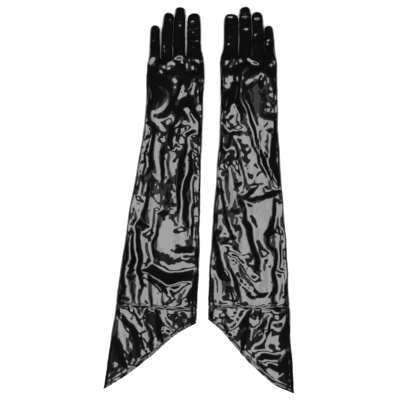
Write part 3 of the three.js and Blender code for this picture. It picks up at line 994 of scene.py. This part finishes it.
def cutting_plan(column, row, level):
    """Rows of (part, CAD nodes, which faces)."""
    plan = []
    for facing in ("back", "palm"):
        side = on_side(facing, level)
        plan += [
            (f"hem_{facing}", [f"hem_{facing}"], side & (row < BAND_ROWS)),
            (f"cuff_{facing}", [f"cuff_{facing}"], side & (row > BAND_ROWS) & (row < CUFF_ROWS)),
            (f"sleeve_{facing}", [f"upper_sleeve_{facing}", f"forearm_{facing}"],
             side & (row > CUFF_ROWS) & (row < SPLIT_ROW)),
            (f"hand_{facing}", [f"hand_{facing}"], side & (row > SPLIT_ROW) & (row < ROWS)),
        ]
    for number, name in enumerate(NAMES):
        first, last = FINGER_CELLS[number]
        mine = (row > ROWS) & (column > first) & (column < last)
        sewn = np.zeros(len(row), bool)
        for by in neighbours(number):
            strip = is_fourchette(number, by, column, row, level)
            sewn |= strip
            part = f"{name}_fourchette_by_{NAMES[by]}"
            plan.append((part, [part], strip))
        for facing in ("back", "palm"):
            part = f"{name}_{facing}"
            plan.append((part, [part], mine & on_side(facing, level) & ~sewn))
    return plan


# %% Cut both gloves
made_pieces = {}


def bend_for(hand, part):
    """Bodies and zone of the joint that a piece crosses."""
    if part.startswith(("hem", "cuff")):
        return "upper_sleeve", "cuff", 0, -CUFF_ZONE, 0
    if part.startswith("sleeve"):
        return "upper_sleeve", "forearm", ELBOW_S - ELBOW_ZONE, ELBOW_S + ELBOW_ZONE, 0
    if part.startswith("hand"):
        return "forearm", "hand", WRIST_S - WRIST_ZONE, WRIST_S + WRIST_ZONE, 0
    name = part.split("_")[0]
    root_a, _, root_s = FINGERS[name][:3]
    return "hand", name, root_s + KNUCKLE_ZONE[0], root_s + KNUCKLE_ZONE[1], root_a


def cut_glove(hand):
    """Cut one glove's skin by the plan and finish each piece."""
    skin = skins[hand]
    middles, areas = face_places(skin)
    plan = cutting_plan(*middles.T)
    codes = np.full(len(middles), -1)
    for code, (_, _, chosen) in enumerate(plan):
        codes[chosen] = code
    assert codes.min() >= 0, "every face belongs to a piece"
    objects = separate(skin.copy(), codes)
    for code, (part, nodes, chosen) in enumerate(plan):
        hem = part.startswith("hem")
        obj = thicken(objects[code], f"{hand}_{part}_vinyl", HEM_FILM if hem else FILM)
        made_pieces[obj.name] = obj
        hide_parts(*[f"{hand}_{node}" for node in nodes])
        bend_between(obj, hand, *bend_for(hand, part))


for hand in skins:
    cut_glove(hand)
print("panels:", len(made_pieces))

# %% [markdown]
# ## The thumb
#
# The thumb is sewn round a hole in the palm and folded flat under it, so it hardly shows until
# it is swung out. It is the same kind of net as the glove, with eight cells across, and it
# starts where the palm rises off the table.

# %% Thumb of each glove
THUMB_ROOT, THUMB_TIP = (-27.5, 303.0), (-15.5, 356.0)
THUMB_WIDTHS = (25, 19)
THUMB_START = 291
THUMB_CELLS, THUMB_ROWS = 8, 24
THUMB_TURN = 1.42  # radians that the tip's rows close through
THUMB_BEND = (3, 18)  # its joint's bend, from its start
PALM_LIMIT, PALM_GAP = 7.6, 0.8  # highest palm over the thumb, and the gap under it
THUMB_THICK = (2, 6.6)
THUMB_REST = 0.4  # height of its underside
THUMB_SLACK = 0.35


def sew_thumb_net():
    """The thumb's net: a flat sheet extruded upwards, open at its root."""
    bm = bmesh.new()
    bmesh.ops.create_grid(bm, x_segments=THUMB_CELLS, y_segments=THUMB_ROWS, size=0.5)
    bmesh.ops.scale(bm, vec=(THUMB_CELLS, THUMB_ROWS, 1), verts=bm.verts)
    bmesh.ops.translate(bm, vec=(0, THUMB_ROWS / 2, 0), verts=bm.verts)
    raise_sheet(bm)
    put_in_order(bm)
    mesh = bpy.data.meshes.new("thumb_net")
    bm.to_mesh(mesh)
    bm.free()
    return mesh


def shape_thumb(column, row, level):
    """(a, s, z) of the thumb's net points."""
    way = np.subtract(THUMB_TIP, THUMB_ROOT)
    length = np.linalg.norm(way)
    way = way / length
    start = (THUMB_START - THUMB_ROOT[1]) / way[1]
    radius = THUMB_WIDTHS[1] / 2
    t = row / THUMB_ROWS
    along = start + (length - start) * t
    bend = np.clip((along - length + radius) / radius, 0, 1)
    along = np.where(bend > 0, length - radius + radius * np.sin(bend * THUMB_TURN), along)
    full = np.cos(bend * THUMB_TURN)
    u = column / (THUMB_CELLS / 2)
    width = np.interp(along, (0, length), THUMB_WIDTHS)
    at_side = np.abs(u) > 0.999
    rise = np.where(level > LEVELS / 2, 1, -1) * oval(u, STALL_RISE[-1], STALL_OVAL)
    rise = np.where(at_side, np.interp(level, range(LEVELS + 1), STALL_RISE), rise)
    tuck = np.where(at_side, STALL_TUCK * (np.abs(level - LEVELS / 2) / 2) ** 2, 0)
    side = u * width / 2 * full - np.sign(u) * tuck * full
    a = THUMB_ROOT[0] + way[0] * along + way[1] * side
    s = THUMB_ROOT[1] + way[1] * along - way[0] * side
    room = np.minimum(bottom(THUMB_ROOT[1] + way[1] * along), PALM_LIMIT) - PALM_GAP
    thick = np.clip(room, *THUMB_THICK)
    z = THUMB_REST + thick / 2 + rise * (thick * np.sqrt(full)) / 2
    return np.stack((a, s, z), 1)


def make_thumb(hand, net):
    """The thumb's two halves."""
    co = lay_out(LAYS[hand], *shape_thumb(*net_places(net)).T)
    laid = mesh_from(co, net, f"{hand}_thumb_skin")
    face_outwards(hand, laid)
    skin = refine(laid, net)
    raise_relief(skin, THUMB_SLACK * slack(coordinates(skin) / MM, (7, 9, 12), 21.7))
    middles, areas = face_places(skin)
    codes = (middles[:, 2] < LEVELS / 2).astype(int)
    for code, obj in separate(skin, codes).items():
        facing = ("back", "palm")[code]
        piece = thicken(obj, f"{hand}_thumb_{facing}_vinyl", FILM)
        made_pieces[piece.name] = piece
        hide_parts(f"{hand}_thumb_{facing}")
        bend_between(piece, hand, "hand", "thumb", *(THUMB_START + s for s in THUMB_BEND), THUMB_ROOT[0])


thumb_net = sew_thumb_net()
for hand in skins:
    make_thumb(hand, thumb_net)
print("pieces with the thumbs:", len(made_pieces))

# %% [markdown]
# ## Topstitching
#
# The hem is turned under and held by one row of stitches. A real stitch is a short loop of
# twisted thread that sinks into the film at both ends, so each is a slim grain shape, laid on
# the surface by casting a ray at it. The row stops short of the side seams.

# %% Stitches along the hem
STITCH_PITCH, STITCH_LENGTH, THREAD = 4.0, 3.1, 0.55
STITCH_ROW = BAND_ROWS * 0.82  # just inside the hem band's edge
ROW_END = 0.975  # share of the half width where the row stops
LINE_POINTS = 400  # steps that trace the row
PROUD = 0.08  # how far a stitch's middle stands off the film


def lay_stitches(hand, facing):
    """One row of topstitches on one side of a hem."""
    skin = skins[hand]
    tree = BVHTree.FromPolygons([v.co for v in skin.vertices], [p.vertices for p in skin.polygons])
    fine = np.linspace(-ROW_END, ROW_END, LINE_POINTS)
    columns = np.interp(fine, COLUMN_SHARES, np.arange(COLUMNS + 1))
    level = np.full(LINE_POINTS, float(LEVELS))
    pattern = shape_sleeve(hand, columns, np.full(LINE_POINTS, STITCH_ROW), level)
    line = lay_out(LAYS[hand], *pattern.T)[:, :2]
    steps = np.concatenate(([0], np.cumsum(np.linalg.norm(np.diff(line, axis=0), axis=1)))) / MM
    centres = np.arange(STITCH_PITCH, steps[-1] - STITCH_PITCH, STITCH_PITCH)
    bm = bmesh.new()
    above = facing == "back"
    for centre in centres:
        x, y = (np.interp(centre, steps, line[:, i]) for i in (0, 1))
        ahead = [np.interp(centre + 1, steps, line[:, i]) for i in (0, 1)]
        origin = Vector((x, y, 0.1 if above else -0.1))
        hit, normal, _, _ = tree.ray_cast(origin, Vector((0, 0, -1 if above else 1)))
        if hit is None:
            continue
        along = Vector((ahead[0] - x, ahead[1] - y, 0)).normalized()
        along = (along - normal * along.dot(normal)).normalized()
        turn = Matrix((along, normal.cross(along), normal)).transposed().to_4x4()
        grain = bmesh.ops.create_uvsphere(bm, u_segments=6, v_segments=5, radius=0.5)["verts"]
        bmesh.ops.rotate(bm, verts=grain, matrix=Matrix.Rotation(math.pi / 2, 3, "Y"))
        bmesh.ops.scale(bm, verts=grain, vec=Vector((STITCH_LENGTH, THREAD, THREAD)) * MM)
        place = Matrix.Translation(hit + normal * PROUD * MM)
        bmesh.ops.transform(bm, verts=grain, matrix=place @ turn)
    mesh = bpy.data.meshes.new(f"{hand}_hem_{facing}_stitches")
    for face in bm.faces:
        face.smooth = True
    bm.to_mesh(mesh)
    bm.free()
    obj = bpy.data.objects.new(mesh.name, mesh)
    bpy.context.scene.collection.objects.link(obj)
    bend_between(obj, hand, "upper_sleeve", "cuff", 0, -CUFF_ZONE)
    return obj


stitch_rows = [lay_stitches(hand, facing) for hand in skins for facing in ("back", "palm")]
print("stitches:", sum(len(o.data.polygons) for o in stitch_rows) // 30)

# %% [markdown]
# ## Finishes
#
# Patent vinyl is a clear-topped PVC film on a knit. The eye sees two things: a mirror-smooth top
# coat that holds sharp reflections of the lamps, and the near-black film below it, whose grain
# breaks up the gloss a little. Inside, the bare knit is matt.

# %% Node helper and colours


def linear(code):
    """An sRGB hex colour as linear RGBA."""
    parts = [int(code[i:i + 2], 16) / 255 for i in (1, 3, 5)]
    return [c / 12.92 if c <= 0.04045 else ((c + 0.055) / 1.055) ** 2.4 for c in parts] + [1]


def add_node(tree, kind, links=(), **settings):
    """Add a node: settings are its properties or unlinked inputs, links are (input, socket)."""
    node = tree.nodes.new(kind)
    for name, value in settings.items():
        if name in node.bl_rna.properties:
            setattr(node, name, value)
        else:
            node.inputs[name.replace("_", " ")].default_value = value
    for name, socket in links:
        tree.links.new(socket, node.inputs[name])
    return node


def new_material(name):
    """An empty material and its node tree."""
    material = bpy.data.materials.new(name)
    material.use_nodes = True
    material.node_tree.nodes.clear()
    return material, material.node_tree


# %% Patent vinyl, as calendered PVC film
FILM_GRAIN = 900.0  # noise of about 1 mm
HANDLING = 38.0  # smears of about 25 mm
HANDLED_HAZE = 0.16  # roughness that the smears add


def patent_vinyl(name, code, haze):
    """Near black film with an even gloss coat, a little dulled by handling."""
    material, tree = new_material(name)
    place = add_node(tree, "ShaderNodeTexCoord").outputs["Object"]
    grain = add_node(tree, "ShaderNodeTexNoise", [("Vector", place)], Scale=FILM_GRAIN, Detail=2.0)
    handling = add_node(tree, "ShaderNodeTexNoise", [("Vector", place)], Scale=HANDLING, Detail=3.0)
    tint = add_node(tree, "ShaderNodeValToRGB", [("Fac", handling.outputs["Fac"])])
    tint.color_ramp.elements[0].color = linear(code)
    tint.color_ramp.elements[1].color = linear("#0C0B0C")
    dull = add_node(
        tree, "ShaderNodeMapRange", [("Value", handling.outputs["Fac"])],
        To_Min=haze, To_Max=haze + HANDLED_HAZE,
    )
    dents = add_node(
        tree, "ShaderNodeBump", [("Height", grain.outputs["Fac"])], Strength=0.12, Distance=0.00006,
    )
    coat_dents = add_node(
        tree, "ShaderNodeBump", [("Height", handling.outputs["Fac"])], Strength=0.25, Distance=0.0006,
    )
    shader = add_node(
        tree, "ShaderNodeBsdfPrincipled",
        [
            ("Base Color", tint.outputs["Color"]), ("Roughness", dull.outputs["Result"]),
            ("Normal", dents.outputs["Normal"]), ("Coat Normal", coat_dents.outputs["Normal"]),
        ],
        IOR=1.45, Specular_IOR_Level=0.06, Coat_Weight=1.0, Coat_Roughness=0.03, Coat_IOR=1.5,
    )
    add_node(tree, "ShaderNodeOutputMaterial", [("Surface", shader.outputs["BSDF"])])
    return material


# %% Knit backing, as polyester tricot
WALES = 260.0  # ribs 1.2 mm apart, drawn coarser than the real 0.6 so that they show


def knit_backing():
    """Black matt knit with fine ribs, painted darker in their grooves as shade."""
    material, tree = new_material("knit_backing")
    place = add_node(tree, "ShaderNodeTexCoord").outputs["Object"]
    wales = add_node(tree, "ShaderNodeTexWave", [("Vector", place)], Scale=WALES, Distortion=0.6)
    dents = add_node(
        tree, "ShaderNodeBump", [("Height", wales.outputs["Fac"])], Strength=0.5, Distance=0.0003,
    )
    # The ribs' colour follows their height: painted shade in the grooves, lighter on the tops.
    tint = add_node(tree, "ShaderNodeValToRGB", [("Fac", wales.outputs["Fac"])])
    tint.color_ramp.elements[0].color = linear("#0E0E0F")
    tint.color_ramp.elements[1].color = linear("#1C1C1E")
    shader = add_node(
        tree, "ShaderNodeBsdfPrincipled",
        [("Base Color", tint.outputs["Color"]), ("Normal", dents.outputs["Normal"])],
        Roughness=0.85, Sheen_Weight=0.3, Sheen_Roughness=0.4,
    )
    add_node(tree, "ShaderNodeOutputMaterial", [("Surface", shader.outputs["BSDF"])])
    return material


# %% Thread, as bonded polyester
TWIST = 900.0  # its ribs are about 0.3 mm apart


def bonded_thread():
    """Black thread, with its twist as fine diagonal ribs."""
    material, tree = new_material("bonded_thread")
    place = add_node(tree, "ShaderNodeTexCoord").outputs["Object"]
    twist = add_node(
        tree, "ShaderNodeTexWave", [("Vector", place)], Scale=TWIST, bands_direction="DIAGONAL",
    )
    dents = add_node(
        tree, "ShaderNodeBump", [("Height", twist.outputs["Fac"])], Strength=0.6, Distance=0.0001,
    )
    shader = add_node(
        tree, "ShaderNodeBsdfPrincipled", [("Normal", dents.outputs["Normal"])],
        Base_Color=linear("#161617"), Roughness=0.45,
    )
    add_node(tree, "ShaderNodeOutputMaterial", [("Surface", shader.outputs["BSDF"])])
    return material


# %% Give each piece its finish
outside = patent_vinyl("patent_vinyl_film", "#050506", 0.2)
hem_outside = patent_vinyl("patent_vinyl_turned_hem", "#070708", 0.26)
inside = knit_backing()
thread = bonded_thread()
for name, obj in made_pieces.items():
    obj.data.materials.clear()
    obj.data.materials.append(hem_outside if "_hem_" in name else outside)
    obj.data.materials.append(inside)
for obj in stitch_rows:
    obj.data.materials.append(thread)
print("finishes:", [material.name for material in (outside, hem_outside, inside, thread)])

# %% [markdown]
# ## Table, lamps and camera
#
# Gloss is only as good as what it reflects. Three softboxes hang over the sleeves, with a dark gap
# between them and one past the cuffs. Film tilted towards a softbox mirrors it, and the rest
# mirrors the dark ceiling, so the folds show as bright patches on black. Dim panels at the sides
# and a faint one over the hands keep the edges readable. A fill lamp that gloss doesn't see keeps
# the table pale and even.

# %% Table
def pale_table():
    """Matt white board."""
    material, tree = new_material("pale_table")
    shader = add_node(tree, "ShaderNodeBsdfPrincipled", Base_Color=linear("#F6F6F6"), Roughness=0.9)
    add_node(tree, "ShaderNodeOutputMaterial", [("Surface", shader.outputs["BSDF"])])
    return material


bm = bmesh.new()
bmesh.ops.create_grid(bm, x_segments=1, y_segments=1, size=12)
floor_mesh = bpy.data.meshes.new("floor")
bm.to_mesh(floor_mesh)
bm.free()
floor = bpy.data.objects.new("floor", floor_mesh)
bpy.context.scene.collection.objects.link(floor)
floor.data.materials.append(pale_table())
print("table, m:", tuple(floor.dimensions))

# %% Lamps
def lamp(name, place, aim, size, radiance, seen_in_gloss=True):
    """A rectangular area lamp of a given radiance, aimed at a point."""
    data = bpy.data.lights.new(name, "AREA")
    data.shape = "RECTANGLE"
    data.size, data.size_y = size
    data.energy = radiance * math.pi * size[0] * size[1]
    obj = bpy.data.objects.new(name, data)
    bpy.context.scene.collection.objects.link(obj)
    obj.location = place
    obj.rotation_euler = (Vector(aim) - Vector(place)).to_track_quat("-Z", "Y").to_euler()
    obj.visible_glossy = seen_in_gloss
    obj.visible_camera = False


KEY_GLOW, DIM_GLOW, FAINT_GLOW = 8.0, 0.75, 0.9
LAMP_Z = 2.2
for x, width, share in ((-0.65, 0.6, 0.84), (-0.03, 0.64, 1.06), (0.62, 0.66, 0.92)):
    lamp("near_softbox", (x, -0.15, LAMP_Z), (x, -0.15, 0), (width, 0.6), KEY_GLOW * share)
lamp("far_softbox", (0, -1.25, LAMP_Z), (0, -1.25, 0), (1.9, 0.5), KEY_GLOW)
for side in (-1, 1):
    lamp("flank_panel", (side * 1.35, -0.02, LAMP_Z), (side * 1.35, -0.02, 0), (0.7, 0.9), DIM_GLOW)
lamp("hand_panel", (0.23, 0.31, LAMP_Z), (0.23, 0.31, 0), (0.4, 0.42), FAINT_GLOW)
lamp("fill", (0, 0, 3.0), (0, 0, 0), (4, 4), 1.0, seen_in_gloss=False)
print("lamps:", len(bpy.data.lights))

# %% Surroundings: pale to all but gloss, which sees a dark room
world = bpy.data.worlds.new("studio")
bpy.context.scene.world = world
world.use_nodes = True
world.node_tree.nodes.clear()
tree = world.node_tree
rays = add_node(tree, "ShaderNodeLightPath")
bright = add_node(tree, "ShaderNodeBackground", Color=linear("#FFFFFF"), Strength=0.75)
black = add_node(tree, "ShaderNodeBackground", Color=linear("#FFFFFF"), Strength=0.004)
mixed = add_node(
    tree, "ShaderNodeMixShader",
    [("Fac", rays.outputs["Is Glossy Ray"]), (1, bright.outputs[0]), (2, black.outputs[0])],
)
add_node(tree, "ShaderNodeOutputWorld", [("Surface", mixed.outputs[0])])
print("world nodes:", len(tree.nodes))

# %% Camera, straight above
LENS, SENSOR = 85, 36
FIELD = 0.6  # width of the view at the gloves' height
ASIDE = 0.002  # the pair lies a little left of the view's middle
camera_data = bpy.data.cameras.new("camera")
camera_data.lens, camera_data.sensor_width = LENS, SENSOR
camera = bpy.data.objects.new("camera", camera_data)
bpy.context.scene.collection.objects.link(camera)
camera.location = (ASIDE, 0, FIELD * LENS / SENSOR + SLEEVE_HEIGHT * MM / 2)
bpy.context.scene.camera = camera
bpy.context.scene.view_settings.view_transform = "Standard"
print("camera:", tuple(round(value, 3) for value in camera.location))
